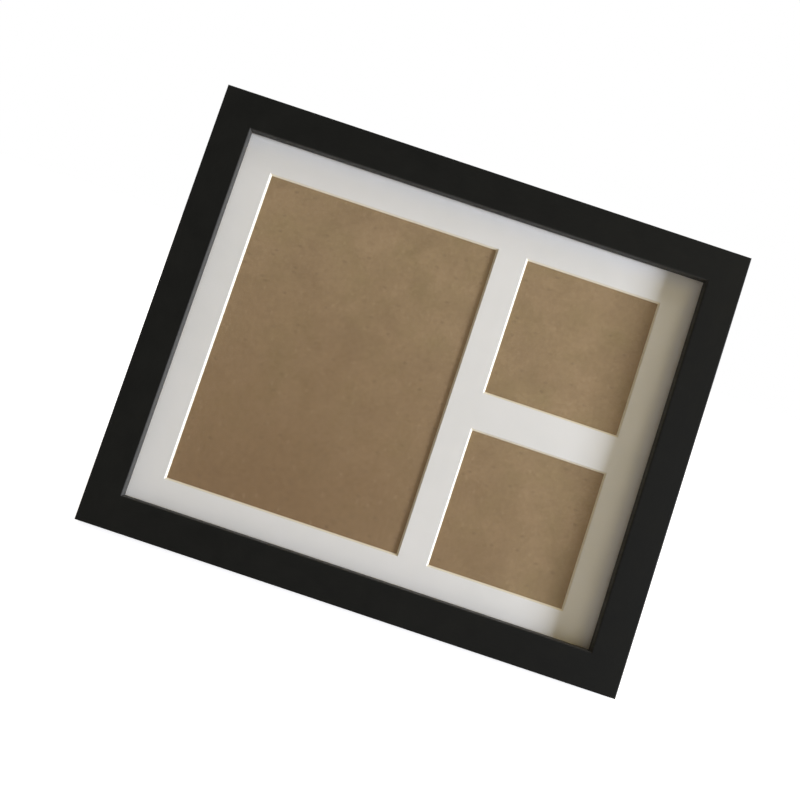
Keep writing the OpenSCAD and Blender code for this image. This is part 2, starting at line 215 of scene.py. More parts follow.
def joined(name, copies):    # several copies as one piece
    takeUp(copies[0])
    for piece in copies[1:]:
        piece.select_set(True)
    bpy.ops.object.join()
    copies[0].name = name
    return copies[0]


def dressSheet(piece, flatLook, rimLook):    # one look on a sheet's two sides, another on its cut edges
    piece.data.materials.append(flatLook)
    piece.data.materials.append(rimLook)
    for face in piece.data.polygons:
        face.material_index = 0 if abs(face.normal.y) > 0.9 else 1


def finishPiece(piece, looks, slot, body, *nodes):
    takeUp(piece)
    bpy.ops.object.shade_smooth_by_angle(angle=smoothAngle)
    applyModifier(piece, "WEIGHTED_NORMAL", keep_sharp=True)
    if not piece.data.materials:
        for look in looks:
            piece.data.materials.append(look)
    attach(piece, body)
    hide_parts(*nodes)


# Material nodes: a pattern lies on the upright frame's axes, or on those of the shape before it was
# put in its place

def addNode(tree, kind, inputs=None, **settings):
    made = tree.nodes.new("ShaderNode" + kind)
    for key, value in settings.items():
        setattr(made, key, value)
    for key, value in (inputs or {}).items():
        if isinstance(value, bpy.types.NodeSocket):
            tree.links.new(value, made.inputs[key])
        else:
            made.inputs[key].default_value = value
    return made


def newMaterial(name):
    material = bpy.data.materials.new(name)
    material.use_nodes = True
    material.node_tree.nodes.clear()
    return material, material.node_tree


def principled(tree, inputs):
    shader = addNode(tree, "BsdfPrincipled", inputs)
    addNode(tree, "OutputMaterial", {"Surface": shader.outputs[0]})


def onFrame(tree, stretch=(1, 1, 1), place=stand):    # a stretch draws the pattern out along that axis
    inputs = {
        "Vector": addNode(tree, "TexCoord").outputs["Object"],
        "Location": place.to_translation(),
        "Rotation": place.to_euler(),
        "Scale": stretch,
    }
    return addNode(tree, "Mapping", inputs, vector_type="TEXTURE").outputs[0]


def onShape(tree, stretch=(1, 1, 1)):
    kept = addNode(tree, "Attribute", attribute_name="shapePoint").outputs["Vector"]
    return addNode(tree, "Mapping", {"Vector": kept, "Scale": stretch}, vector_type="TEXTURE").outputs[0]


def keepShapePoints(piece):    # for onShape, once the shape is done and before it goes to its place
    points = piece.data.attributes.new("shapePoint", "FLOAT_VECTOR", "POINT")
    points.data.foreach_set("vector", [value for vert in piece.data.vertices for value in vert.co])


def noise(tree, points, size, detail=2.0, rough=0.5, twist=0.0):    # 0 to 1, in lumps of about this size
    inputs = {"Vector": points, "Scale": 1 / size, "Detail": detail, "Roughness": rough, "Distortion": twist}
    return addNode(tree, "TexNoise", inputs).outputs[0]


def spread(tree, value, start, end, low=0.0, high=1.0):    # from low at the start to high at the end
    inputs = {"Value": value, "From Min": start, "From Max": end, "To Min": low, "To Max": high}
    return addNode(tree, "MapRange", inputs).outputs[0]


def sums(tree, operation, first, second=0.0):
    return addNode(tree, "Math", {0: first, 1: second}, operation=operation).outputs[0]


def weighed(tree, *patterns):    # the sum of two patterns, each with its start, end and weight
    shares = [spread(tree, value, start, end, 0.0, weight) for value, start, end, weight in patterns]
    return sums(tree, "ADD", *shares)


def threads(tree, value, width):    # 1 along the thin lines where a noise passes its middle
    off = sums(tree, "ABSOLUTE", sums(tree, "SUBTRACT", value, 0.5))
    return spread(tree, off, 0.0, width, 1.0, 0.0)


def specks(tree, points, apart, radius, share):    # 1 on small dots over x and z, in this share of the cells
    parts = addNode(tree, "SeparateXYZ", {0: points}).outputs
    flat = addNode(tree, "CombineXYZ", {0: parts[0], 1: parts[2]}).outputs[0]
    cells = addNode(tree, "TexVoronoi", {"Vector": flat, "Scale": 1 / apart}, voronoi_dimensions="2D")
    dot = spread(tree, cells.outputs["Distance"], 0.5 * radius / apart, radius / apart, 1.0, 0.0)
    chosen = addNode(tree, "SeparateColor", {0: cells.outputs["Color"]}).outputs[0]
    return sums(tree, "MULTIPLY", dot, sums(tree, "LESS_THAN", chosen, share))


def mixed(tree, share, first, second):    # two colours, each given or from a node
    node = addNode(tree, "Mix", {0: share}, data_type="RGBA")
    for socket, colour in zip(node.inputs[6:8], (first, second)):
        if isinstance(colour, bpy.types.NodeSocket):
            tree.links.new(colour, socket)
        else:
            socket.default_value = (*colour, 1)
    return node.outputs[2]


def relief(tree, height, depth):    # bump: a height of 1 stands this deep
    return addNode(tree, "Bump", {"Height": height, "Distance": depth, "Strength": 1.0}).outputs[0]


def ringsRound(tree, width):    # lathe rings round the shape's y axis
    parts = addNode(tree, "SeparateXYZ", {0: onShape(tree)}).outputs
    squares = [sums(tree, "MULTIPLY", part, part) for part in (parts[0], parts[2])]
    inputs = {"W": sums(tree, "SQRT", sums(tree, "ADD", *squares)), "Scale": 1 / width, "Detail": 2}
    return addNode(tree, "TexNoise", inputs, noise_dimensions="1D").outputs[0]


def metal(name, look):    # dull patches of plating, and lines from the rollers, the wire die or the lathe
    material, tree = newMaterial(name)
    if "rings" in look:
        lines = ringsRound(tree, look["rings"])
    else:
        lines = noise(tree, onShape(tree, look["drawn"]), look["lineSize"], 3, 0.6)
    patches = noise(tree, onFrame(tree), look["patchSize"], 4, 0.6, 0.6)
    pits = noise(tree, onShape(tree), look["patchSize"] / 8, 2)    # eight across a patch
    dulled = weighed(tree, (patches, 0.3, 0.7, 0.6), (lines, 0.35, 0.7, 0.4))
    principled(tree, {
        "Base Color": mixed(tree, dulled, look["light"], look["dark"]),
        "Roughness": spread(tree, dulled, 0.1, 0.9, *look["rough"]),
        "Metallic": 1.0,
        "Normal": relief(tree, sums(tree, "ADD", lines, pits), look["relief"]),
    })
    return material


# V-nails: bent steel strips driven flush into the back of each mitre
vNail = {
    "wing": 4.0 * mm,
    "thickness": 0.6 * mm,
    "depth": 7.0 * mm,
    "places": [2.2 * mm, 6.2 * mm],    # in from the outer corner, along both rails
    "slack": 0.03 * mm,
    "edgeEase": 0.08 * mm,
    "light": (0.36, 0.35, 0.34),       # blued spring steel
    "dark": (0.16, 0.155, 0.15),
    "rough": (0.32, 0.55),
    "drawn": (1, 12, 1),
    "lineSize": 0.18 * mm,
    "patchSize": 2.2 * mm,
    "relief": 0.008 * mm,
}


def vNailShape(name, extra):
    low, thick = -extra, vNail["thickness"] + extra
    front = outerHigh.y - vNail["depth"] - extra
    back = outerHigh.y + 2 * extra
    wing = vNail["wing"] + extra
    lip = vNail["wing"] - vNail["thickness"] - extra
    short = 2 * vNail["thickness"] + extra
    piece = addBox(name, Vector((low, front, low)), Vector((wing, back, thick)))
    fuse(piece, addBox("wing", Vector((low, front, low)), Vector((thick, back, wing))))
    fuse(piece, addBox("lip", Vector((lip, front, low)), Vector((wing, back, short))))
    fuse(piece, addBox("lip", Vector((low, front, lip)), Vector((short, back, wing))))
    return piece


def vNailPlaces():
    side = outerWidth / 2
    places = []
    for quarter, (x, z) in enumerate([(-side, 0), (-side, outerHeight), (side, outerHeight), (side, 0)]):
        for step in vNail["places"]:
            places.append(moved(x, 0, z) @ turned(90 * quarter, "Y") @ moved(step, 0, step))
    return places


def makeVNails():
    nail = vNailShape("v_nail", 0)
    easeEdges(nail, vNail["edgeEase"])
    keepShapePoints(nail)
    nails = joined("v_nails_driven", [copyTo(nail, "v_nail_copy", place) for place in vNailPlaces()])
    bpy.data.objects.remove(nail)
    nails.data.transform(stand)
    finishPiece(nails, [metal("V-nail steel", vNail)], "nail_steel", "frame", "corner_v_nails")


# Rails: an L-shaped fibreboard moulding in a black wrap, mitred at the corners
rail = {
    "edgeRadius": 0.8 * mm,
    "seamEase": 0.1 * mm,
    "sheetGap": 0.3 * mm,     # from the sheets to the rebate's wall
    "bareStrip": 1.2 * mm,    # where the wrap stops short of the rebate, at the back
    "black": (0.0048, 0.0049, 0.004),
    "rubbed": (0.0085, 0.0086, 0.0071),
    "lipPaintedLight": (0.038, 0.037, 0.033),    # painted light: the lip's inner wall is made grey to stand in for the light and reflection it catches
    "lipFade": (0.5 * mm, 0.1 * mm),     # it begins and ends this far before the wall
    "rough": (0.4, 0.56),
    "shine": 0.07,
    "grainSize": 0.55 * mm,
    "grainLength": 11,        # of the wrap's grain along the rail, in grain sizes
    "grainRelief": 0.012 * mm,
    "cloudSize": 17 * mm,
    "bareLight": (0.36, 0.26, 0.145),
    "bareDark": (0.21, 0.14, 0.07),
    "fluffSize": 0.35 * mm,
    "lumpSize": 4 * mm,
    "sawSize": 0.9 * mm,
    "bareRelief": 0.03 * mm,
}
railWidth = boxIn(stand, "bottom_rail")[1].z
paneLow, paneHigh = boxIn(stand, "glazing_pane")
lipDepth = paneLow.y
backWidth = outerHigh.x - paneHigh.x - rail["sheetGap"]


def satinWrap():    # a foil over the moulding: fine grain along the rail, and clouds where it was rubbed
    material, tree = newMaterial("satin black wrap")
    grain = noise(tree, onShape(tree, (rail["grainLength"], 1, 1)), rail["grainSize"], 3, 0.6)
    clouds = noise(tree, onFrame(tree), rail["cloudSize"], 4, 0.55, 0.4)
    rubbed = weighed(tree, (clouds, 0.35, 0.7, 0.6), (grain, 0.4, 0.75, 0.4))
    across = addNode(tree, "SeparateXYZ", {0: onShape(tree)}).outputs[2]
    # painted light: near the lip's inner wall the black turns to a grey that stands in for light falling on
    # the wall
    paintedLipLight = spread(tree, across, railWidth - rail["lipFade"][0], railWidth - rail["lipFade"][1])
    principled(tree, {
        "Base Color": mixed(tree, paintedLipLight, mixed(tree, rubbed, rail["black"], rail["rubbed"]), rail["lipPaintedLight"]),
        "Roughness": spread(tree, rubbed, 0.0, 0.9, *reversed(rail["rough"])),
        "Specular IOR Level": rail["shine"],
        "Normal": relief(tree, grain, rail["grainRelief"]),
    })
    return material


def bareFibreboard():    # the moulding's sawn faces
    material, tree = newMaterial("bare fibreboard")
    fluff = noise(tree, onFrame(tree), rail["fluffSize"], 5, 0.7)
    lumps = noise(tree, onFrame(tree), rail["lumpSize"], 3, 0.6)
    saw = noise(tree, onShape(tree, (0.4, 9, 9)), rail["sawSize"], 2)
    shade = weighed(tree, (fluff, 0.3, 0.7, 0.6), (lumps, 0.3, 0.7, 0.4))
    principled(tree, {
        "Base Color": mixed(tree, shade, rail["bareLight"], rail["bareDark"]),
        "Roughness": spread(tree, fluff, 0.3, 0.7, 0.8, 0.95),
        "Specular IOR Level": 0.2,
        "Normal": relief(tree, sums(tree, "ADD", fluff, saw), rail["bareRelief"]),
    })
    return material


def makeRail(name, length):    # along x, its outer edge at z = 0
    piece = addBox(name, Vector((-length / 2, 0, 0)), Vector((length / 2, outerHigh.y, railWidth)))
    low = Vector((-length, lipDepth, backWidth))
    high = Vector((length, 2 * railWidth, 2 * railWidth))
    cutAway(piece, addBox("rebate", low, high))
    for side in (-1, 1):    # mitres
        pickAll(piece)
        bpy.ops.mesh.bisect(
            plane_co=(side * length / 2, 0, 0), plane_no=(side, 0, 1), use_fill=True, clear_outer=True)
    pick(piece, "EDGE", lambda edge: runsAlong(edge, 0) and near(midPoint(edge).y, 0))
    bpy.ops.mesh.bevel(offset=rail["edgeRadius"], segments=5, affect="EDGES")
    pick(piece, "FACE", lambda face: face.normal.y > 0.9 and face.calc_center_median().y > lipDepth + mm)
    bpy.ops.mesh.bisect(plane_co=(0, 0, backWidth - rail["bareStrip"]), plane_no=(0, 0, 1))
    takeUp(piece)
    return piece


def wrapRail(piece, looks):    # the wrap covers all but the rebate, a strip beside it and the mitres
    for look in looks:
        piece.data.materials.append(look)
    for face in piece.data.polygons:
        inRebate = face.center.z > backWidth - rail["bareStrip"] and face.center.y > lipDepth - 2 * closeBy
        onMitre = abs(face.normal.x) > 0.7
        face.material_index = 1 if inRebate or onMitre else 0


def makeRails():
    places = {
        "bottom": (outerWidth, moved(0, 0, 0)),
        "top": (outerWidth, moved(0, 0, outerHeight) @ turned(180, "Y")),
        "left": (outerHeight, moved(-outerWidth / 2, 0, outerHeight / 2) @ turned(90, "Y")),
        "right": (outerHeight, moved(outerWidth / 2, 0, outerHeight / 2) @ turned(-90, "Y")),
    }
    looks = [satinWrap(), bareFibreboard()]
    for side, (length, place) in places.items():
        piece = makeRail(side + "_rail_wrapped", length)
        slots = []
        for nailPlace in vNailPlaces():
            spot = place.inverted() @ nailPlace
            if abs(spot.translation.z) < railWidth:
                slot = vNailShape("slot", vNail["slack"])
                slot.data.transform(spot)
                slots.append(slot)
        cutAway(piece, *slots)
        easeEdges(piece, rail["seamEase"])
        wrapRail(piece, looks)
        keepShapePoints(piece)
        piece.data.transform(stand @ place)
        finishPiece(piece, [], "rail_black", "frame", side + "_rail")


makeVNails()
makeRails()
print("Rails are mitred, wrapped and nailed")


# Glazing: one clear sheet, its edges just taken off
glazing = {
    "arris": 0.2 * mm,
    "airGap": 0.04 * mm,    # parts it from the mount
    "ior": 1.35,
    "clear": (0.985, 0.992, 0.988),
    "smudged": (0.978, 0.986, 0.981),
    "smudgeSize": 38 * mm,
    "rough": (0.02, 0.07),
    "edgeLight": (0.52, 0.66, 0.6),
    "edgeDark": (0.33, 0.47, 0.41),
    "chipSize": 0.5 * mm,
    "waveSize": 1.1 * mm,
    "edgeRelief": 0.03 * mm,
}


def clearGlazing():    # it shines on its outer side only, a little less where it is smudged
    material, tree = newMaterial("clear glazing")
    smudges = spread(tree, noise(tree, onFrame(tree), glazing["smudgeSize"], 3, 0.55, 1.2), 0.4, 0.7)
    outside = sums(tree, "SUBTRACT", 1.0, addNode(tree, "NewGeometry").outputs["Backfacing"])
    rim = addNode(tree, "Fresnel", {"IOR": glazing["ior"]}).outputs[0]
    tint = mixed(tree, smudges, glazing["clear"], glazing["smudged"])
    rough = spread(tree, smudges, 0.0, 1.0, *glazing["rough"])
    clear = addNode(tree, "BsdfTransparent", {"Color": tint})
    shine = addNode(tree, "BsdfAnisotropic", {"Roughness": rough})
    share = sums(tree, "MULTIPLY", rim, outside)
    both = addNode(tree, "MixShader", {0: share, 1: clear.outputs[0], 2: shine.outputs[0]})
    addNode(tree, "OutputMaterial", {"Surface": both.outputs[0]})
    return material


def cutGlass():    # the scored and snapped rim
    material, tree = newMaterial("cut glass edge")
    chips = noise(tree, onFrame(tree), glazing["chipSize"], 4, 0.65)
    waves = noise(tree, onFrame(tree, (6, 1, 6)), glazing["waveSize"], 2)
    principled(tree, {
        "Base Color": mixed(tree, spread(tree, waves, 0.3, 0.7), glazing["edgeLight"], glazing["edgeDark"]),
        "Roughness": spread(tree, chips, 0.35, 0.65, 0.12, 0.5),
        "Normal": relief(tree, chips, glazing["edgeRelief"]),
    })
    return material


def makeGlazing():
    piece = addBox("glazing_sheet", paneLow, paneHigh - Vector((0, glazing["airGap"], 0)))
    easeEdges(piece, glazing["arris"], 1)
    dressSheet(piece, clearGlazing(), cutGlass())
    piece.data.transform(stand)
    finishPiece(piece, [], "pane_clear", "frame", "glazing_pane")


# Window mount: three windows cut at 45 degrees through a white facing into a cream core
mount = {
    "leftMargin": 16.8 * mm,
    "rightMargin": 19.0 * mm,
    "topMargin": 18.0 * mm,
    "bottomMargin": 15.0 * mm,
    "largeWidth": 127.0 * mm,
    "columnGap": 17.7 * mm,
    "rowGap": 21.5 * mm,
    "edgeEase": 0.06 * mm,
    "facingDepth": 0.16 * mm,    # the white paper on the core, seen as a line along each cut
    "facingBlur": 0.06 * mm,     # half of the line's soft edge
    "white": (0.83, 0.81, 0.78),
    "soft": (0.80, 0.785, 0.755),
    "toothSize": 0.32 * mm,
    "cloudSize": 9 * mm,
    "hairSize": 1.6 * mm,
    "facingRelief": 0.012 * mm,
    "core": (0.9, 0.84, 0.69),
    "coreDark": (0.83, 0.755, 0.59),
    "plySize": 0.14 * mm,
    "napSize": 0.25 * mm,
    "coreRelief": 0.02 * mm,
}


def facingPaper():    # smooth white paper with a slight tooth
    material, tree = newMaterial("mount facing paper")
    tooth = noise(tree, onFrame(tree), mount["toothSize"], 4, 0.6)
    clouds = noise(tree, onFrame(tree), mount["cloudSize"], 4, 0.6)
    hairs = threads(tree, noise(tree, onFrame(tree), mount["hairSize"], 2, 0.5, 1.5), 0.02)
    shade = weighed(tree, (clouds, 0.3, 0.7, 0.6), (tooth, 0.3, 0.7, 0.4))
    height = sums(tree, "ADD", tooth, sums(tree, "MULTIPLY", hairs, 0.4))
    principled(tree, {
        "Base Color": mixed(tree, shade, mount["white"], mount["soft"]),
        "Roughness": spread(tree, tooth, 0.3, 0.7, 0.74, 0.88),
        "Specular IOR Level": 0.3,
        "Normal": relief(tree, height, mount["facingRelief"]),
    })
    return material


def cutCore():    # cream board in thin plies, under the edge of the white facing
    material, tree = newMaterial("mount core")
    low = boxIn(stand, "window_mount")[0]
    depth = addNode(tree, "SeparateXYZ", {0: onFrame(tree)}).outputs[1]
    plies = noise(tree, onFrame(tree, (30, 1, 30)), mount["plySize"], 2)
    nap = noise(tree, onFrame(tree), mount["napSize"], 4, 0.65)
    shade = weighed(tree, (plies, 0.3, 0.7, 0.5), (nap, 0.3, 0.7, 0.5))
    edge, blur = low.y + mount["facingDepth"], mount["facingBlur"]
    isFacing = spread(tree, depth, edge - blur, edge + blur, 1.0, 0.0)
    core = mixed(tree, shade, mount["core"], mount["coreDark"])
    principled(tree, {
        "Base Color": mixed(tree, isFacing, core, mount["white"]),
        "Roughness": spread(tree, nap, 0.3, 0.7, 0.8, 0.95),
        "Specular IOR Level": 0.25,
        "Normal": relief(tree, sums(tree, "ADD", plies, nap), mount["coreRelief"]),
    })
    return material


def windowBoxes():    # (left, bottom, width, height) at the back of the mount
    sightWidth = outerWidth - 2 * railWidth
    sightHeight = outerHeight - 2 * railWidth
    largeHeight = sightHeight - mount["topMargin"] - mount["bottomMargin"]
    smallHeight = (largeHeight - mount["rowGap"]) / 2
    left = mount["leftMargin"] - sightWidth / 2
    smallLeft = left + mount["largeWidth"] + mount["columnGap"]
    smallWidth = sightWidth / 2 - mount["rightMargin"] - smallLeft
    bottom = railWidth + mount["bottomMargin"]
    return [
        (left, bottom, mount["largeWidth"], largeHeight),
        (smallLeft, bottom, smallWidth, smallHeight),
        (smallLeft, bottom + smallHeight + mount["rowGap"], smallWidth, smallHeight),
    ]


def windowCutter(left, bottom, width, height, front, back):    # a block that widens towards the face
    deep = back - front
    cutter = addBox("window", Vector((left, front, bottom)), Vector((left + width, back, bottom + height)))
    pick(cutter, "FACE", lambda face: face.normal.y < -0.9)
    middle = (left + width / 2, front, bottom + height / 2)
    grown = ((width + 2 * deep) / width, 1, (height + 2 * deep) / height)
    bpy.ops.transform.resize(value=grown, center_override=middle)
    bpy.ops.mesh.extrude_region_move(TRANSFORM_OT_translate={"value": (0, -deep, 0)})
    pick(cutter, "FACE", lambda face: face.normal.y > 0.9)
    bpy.ops.mesh.extrude_region_move(TRANSFORM_OT_translate={"value": (0, deep, 0)})
    takeUp(cutter)
    return cutter


def makeMount():
    low, high = boxIn(stand, "window_mount")
    piece = addBox("mount_cut", low, high)
    cutAway(piece, *[windowCutter(*window, low.y, high.y) for window in windowBoxes()])
    easeEdges(piece, mount["edgeEase"])
    dressSheet(piece, facingPaper(), cutCore())
    piece.data.transform(stand)
    finishPiece(piece, [], "mount_white", "frame", "window_mount")


# Rivets: domed heads at the back, their far ends clenched into the sheet that they hold
rivet = {
    "shankRadius": 1.5 * mm,
    "headRadius": 2.6 * mm,
    "headHeight": 1.1 * mm,
    "clenchRadius": 2.4 * mm,
    "clenchDepth": 0.8 * mm,
    "dimple": [(0, 0.25 * mm), (0.8 * mm, 0.2 * mm), (1.3 * mm, 0)],    # in the clenched end
    "slack": 0.02 * mm,
    "light": (0.66, 0.64, 0.6),    # nickel-plated
    "dark": (0.44, 0.42, 0.39),
    "rough": (0.18, 0.36),
    "rings": 0.2 * mm,
    "patchSize": 1.6 * mm,
    "relief": 0.005 * mm,
}


def rivetSpots(place, node):    # middles of the four rivets, with the depth of their clenched ends
    low, high = boxIn(place, node)
    across = high.x - rivet["headRadius"]
    rows = (low.z + rivet["headRadius"], high.z - rivet["headRadius"])
    return [Vector((side * across, low.y, row)) for side in (-1, 1) for row in rows], high.y - low.y


def makeRivets(name, place, node, body):
    spots, length = rivetSpots(place, node)
    seat = length - rivet["headHeight"]
    domeRadius = (rivet["headRadius"] ** 2 + rivet["headHeight"] ** 2) / (2 * rivet["headHeight"])
    rim = math.degrees(math.asin((domeRadius - rivet["headHeight"]) / domeRadius))
    dome = arc((0, length - domeRadius), domeRadius, rim + 3, 90, 8)
    profile = [
        *rivet["dimple"], (rivet["clenchRadius"], 0), (rivet["shankRadius"], rivet["clenchDepth"]),
        (rivet["shankRadius"], seat), (rivet["headRadius"], seat), *dome[:-1], (0, length),
    ]
    one = turnShape("rivet", profile)
    keepShapePoints(one)
    rivets = joined(name, [copyTo(one, "rivet_copy", Matrix.Translation(spot)) for spot in spots])
    bpy.data.objects.remove(one)
    rivets.data.transform(place)
    finishPiece(rivets, [rivetSteel], "rivet_steel", body, node)


def rivetHoles(spots, back):
    radius = rivet["shankRadius"] + rivet["slack"]
    holes = []
    for spot in spots:
        holes.append(addRod("hole", radius, spot - Vector((0, mm, 0)), Vector((spot.x, back, spot.z))))
    return holes


# Backing board and leg: bare brown fibreboard
board = {
    "edgeEase": 0.25 * mm,
    "pale": (0.372, 0.254, 0.134),
    "brown": (0.298, 0.2, 0.101),
    "olive": (0.308, 0.22, 0.101),
    "lowDarkening": (0.255, 0.154, 0.068),              # darker and redder towards a spot low in the large window
    "lowDarkeningSpot": Vector((-66, 0, 12)) * mm,
    "lowDarkeningReach": (35 * mm, 175 * mm),
    "lowDarkeningWander": 12 * mm,
    "wanderSize": 45 * mm,
    "bark": (0.13, 0.078, 0.038),                # darker fibres and bits
    "straw": (0.46, 0.33, 0.19),                 # paler chips
    "blotchSize": 15 * mm,
    "hueSize": 1.7,                              # in blotches
    "mottleSize": 2.4 * mm,
    "fibreSize": 0.75 * mm,
    "bitRadius": 0.9 * mm,
    "bitsApart": 8,                              # in their radii, as the chips
    "chipsApart": 7,
    "bitShare": 0.3,                             # of the places that have one
    "bitStrength": 0.24,
    "chipStrength": 0.16,
    "relief": 0.008 * mm,
}


def brownBoard(name, place, isDarkenedLow):
    material, tree = newMaterial(name)
    points = onFrame(tree, place=place)
    blotches = spread(tree, noise(tree, points, board["blotchSize"], 3, 0.55, 0.5), 0.3, 0.7)
    hues = spread(tree, noise(tree, points, board["hueSize"] * board["blotchSize"], 2), 0.35, 0.65)
    colour = mixed(tree, blotches, board["pale"], mixed(tree, hues, board["brown"], board["olive"]))
    # darker and redder towards a spot low in the large window, fading out over the reach
    if isDarkenedLow:
        away = addNode(tree, "VectorMath", {0: points, 1: board["lowDarkeningSpot"]}, operation="DISTANCE")
        waves, reach = noise(tree, points, board["wanderSize"], 2), board["lowDarkeningWander"]
        edge = sums(tree, "ADD", away.outputs["Value"], spread(tree, waves, 0.3, 0.7, -reach, reach))
        lowDarkening = spread(tree, edge, *board["lowDarkeningReach"], 0.95, 0.0)
        colour = mixed(tree, lowDarkening, colour, board["lowDarkening"])
    mottle = noise(tree, points, board["mottleSize"], 3, 0.6, 0.7)
    fibres = noise(tree, onFrame(tree, (5, 1, 1), place), board["fibreSize"], 2, 0.5, 1.5)
    crossed = noise(tree, onFrame(tree, (1, 1, 4), place), board["fibreSize"], 2, 0.5, 1.5)
    felt = sums(tree, "ADD", fibres, crossed)
    dark = weighed(tree, (mottle, 0.3, 0.7, 0.2), (felt, 0.75, 1.25, 0.08))
    colour = mixed(tree, dark, colour, board["bark"])
    for kind, tint, stretch in (("bit", "bark", (1.7, 1, 1)), ("chip", "straw", (1, 1, 1.7))):
        apart = board[kind + "sApart"] * board["bitRadius"]
        dots = specks(tree, onFrame(tree, stretch, place), apart, board["bitRadius"], board["bitShare"])
        colour = mixed(tree, sums(tree, "MULTIPLY", dots, board[kind + "Strength"]), colour, board[tint])
    height = sums(tree, "ADD", sums(tree, "MULTIPLY", felt, 0.3), mottle)
    principled(tree, {
        "Base Color": colour,
        "Roughness": spread(tree, mottle, 0.3, 0.7, 0.68, 0.88),
        "Specular IOR Level": 0.25,
        "Normal": relief(tree, height, board["relief"]),
    })
    return material


def makeBoard():
    low, high = boxIn(stand, "backing_board")
    piece = addBox("board_sheet", low, high)
    spots = rivetSpots(stand, "strut_board_rivets")[0]
    cutAway(piece, *rivetHoles(spots, high.y + mm))
    easeEdges(piece, board["edgeEase"])
    piece.data.transform(stand)
    look = brownBoard("backing fibreboard", stand, True)
    finishPiece(piece, [look], "fibreboard_brown", "frame", "backing_board")


leg = {"topWidth": 38.0 * mm, "footWidth": 76.0 * mm, "cornerRadius": 5.0 * mm, "edgeEase": 0.3 * mm}


def makeLeg():
    low, high = boxIn(opened, "strut_leg")
    half = leg["topWidth"] / 2
    piece = addBox("leg_sheet", Vector((-half, low.y, low.z)), Vector((half, high.y, high.z)))
    pick(piece, "VERT", lambda vert: near(vert.co.z, low.z))
    widened = leg["footWidth"] / leg["topWidth"]
    bpy.ops.transform.resize(value=(widened, 1, 1), center_override=(0, low.y, low.z))
    pick(piece, "EDGE", lambda edge: runsAlong(edge, 1) and near(midPoint(edge).z, high.z))
    bpy.ops.mesh.bevel(offset=leg["cornerRadius"], segments=10, affect="EDGES")
    takeUp(piece)
    spots = rivetSpots(opened, "strut_leg_rivets")[0]
    cutAway(piece, *rivetHoles(spots, high.y + mm))
    piece.data.transform(opened)
    pickAll(piece)
    bpy.ops.mesh.bisect(plane_co=(0, 0, 0), plane_no=(0, 0, 1), use_fill=True, clear_inner=True)
    takeUp(piece)
    easeEdges(piece, leg["edgeEase"])
    look = brownBoard("leg fibreboard", opened, False)
    finishPiece(piece, [look], "fibreboard_brown", "strut", "strut_leg")


makeGlazing()
makeMount()
makeBoard()
makeLeg()
rivetSteel = metal("rivet nickel", rivet)
makeRivets("board_rivets", stand, "strut_board_rivets", "frame")
makeRivets("leg_rivets", opened, "strut_leg_rivets", "strut")
print("Glazing, mount, board, leg and rivets are in")


# Strut hinge: two stamped leaves rolled round a pin, with a tongue that stops the leg
leaf = {
    "thickness": 0.8 * mm,
    "cornerRadius": 2.0 * mm,
    "knuckleRadius": 2.1 * mm,
    "middleKnuckle": 13.0 * mm,
    "gap": 0.3 * mm,
    "tongueWidth": 9.0 * mm,
    "tongueLength": 10.0 * mm,
    "tongueCorner": 1.5 * mm,
    "tongueStandOff": 0.86 * mm,    # from the board
    "tongueRoot": 0.6,              # of the knuckle's radius above the pin, inside the roll
    "rollTurn": 300,                # degrees of sheet round the pin, so that its end clears the leaf
    "edgeEase": 0.1 * mm,
    "light": (0.56, 0.56, 0.55),    # bright zinc on rolled sheet
    "dark": (0.34, 0.34, 0.34),
    "rough": (0.26, 0.48),
    "drawn": (1, 1, 22),
    "lineSize": 0.2 * mm,
    "patchSize": 4.2 * mm,
    "relief": 0.006 * mm,
}
rollRadius = leaf["knuckleRadius"] - leaf["thickness"] / 2
leafSteel = metal("hinge leaf zinc", leaf)


def makeLeaf(name, place, node, upwards, isKnuckle):
    low, high = boxIn(place, node)
    depth = low.y + leaf["thickness"] / 2
    end = high.z if upwards else low.z
    sign = 1 if upwards else -1
    takeUp(None)
    bpy.ops.mesh.primitive_plane_add(
        size=1, location=(0, depth, (hingePin.z + end) / 2), rotation=(math.pi / 2, 0, 0))
    bpy.context.object.scale = (high.x - low.x, abs(end - hingePin.z), 1)
    piece = named(name)
    pick(piece, "VERT", lambda vert: near(vert.co.z, end))
    bpy.ops.mesh.bevel(offset=leaf["cornerRadius"], segments=6, affect="VERTICES")
    clear = hingePin.z + sign * (leaf["knuckleRadius"] + leaf["gap"])
    side = leaf["middleKnuckle"] / 2 + (leaf["gap"] if upwards else 0)
    for co, no in (((0, 0, clear), (0, 0, 1)), ((side, 0, 0), (1, 0, 0)), ((-side, 0, 0), (1, 0, 0))):
        pickAll(piece)
        bpy.ops.mesh.bisect(plane_co=co, plane_no=no)
    pick(piece, "FACE", lambda face: abs(face.calc_center_median().z - hingePin.z) < abs(clear - hingePin.z)
         and not isKnuckle(face.calc_center_median().x, side))
    bpy.ops.mesh.delete(type="FACE")
    pick(piece, "EDGE", lambda edge: runsAlong(edge, 0) and near(midPoint(edge).z, hingePin.z))
    drop = hingePin.y - rollRadius - depth
    bpy.ops.transform.translate(value=(0, drop, 0))
    bpy.ops.mesh.spin(
        steps=24, angle=math.radians(-sign * leaf["rollTurn"]), center=hingePin, axis=(1, 0, 0))
    weld(piece)
    applyModifier(piece, "SOLIDIFY", thickness=leaf["thickness"], offset=0, use_even_offset=True)
    return piece


def makeBoardLeaf():
    piece = makeLeaf("board_leaf_rolled", stand, "strut_board_leaf", True, lambda x, side: abs(x) > side)
    spots = rivetSpots(stand, "strut_board_rivets")[0]
    cutAway(piece, *rivetHoles(spots, outerHigh.y + 2 * mm))
    easeEdges(piece, leaf["edgeEase"])
    keepShapePoints(piece)
    piece.data.transform(stand)
    finishPiece(piece, [leafSteel], "hinge_steel", "frame", "strut_board_leaf")


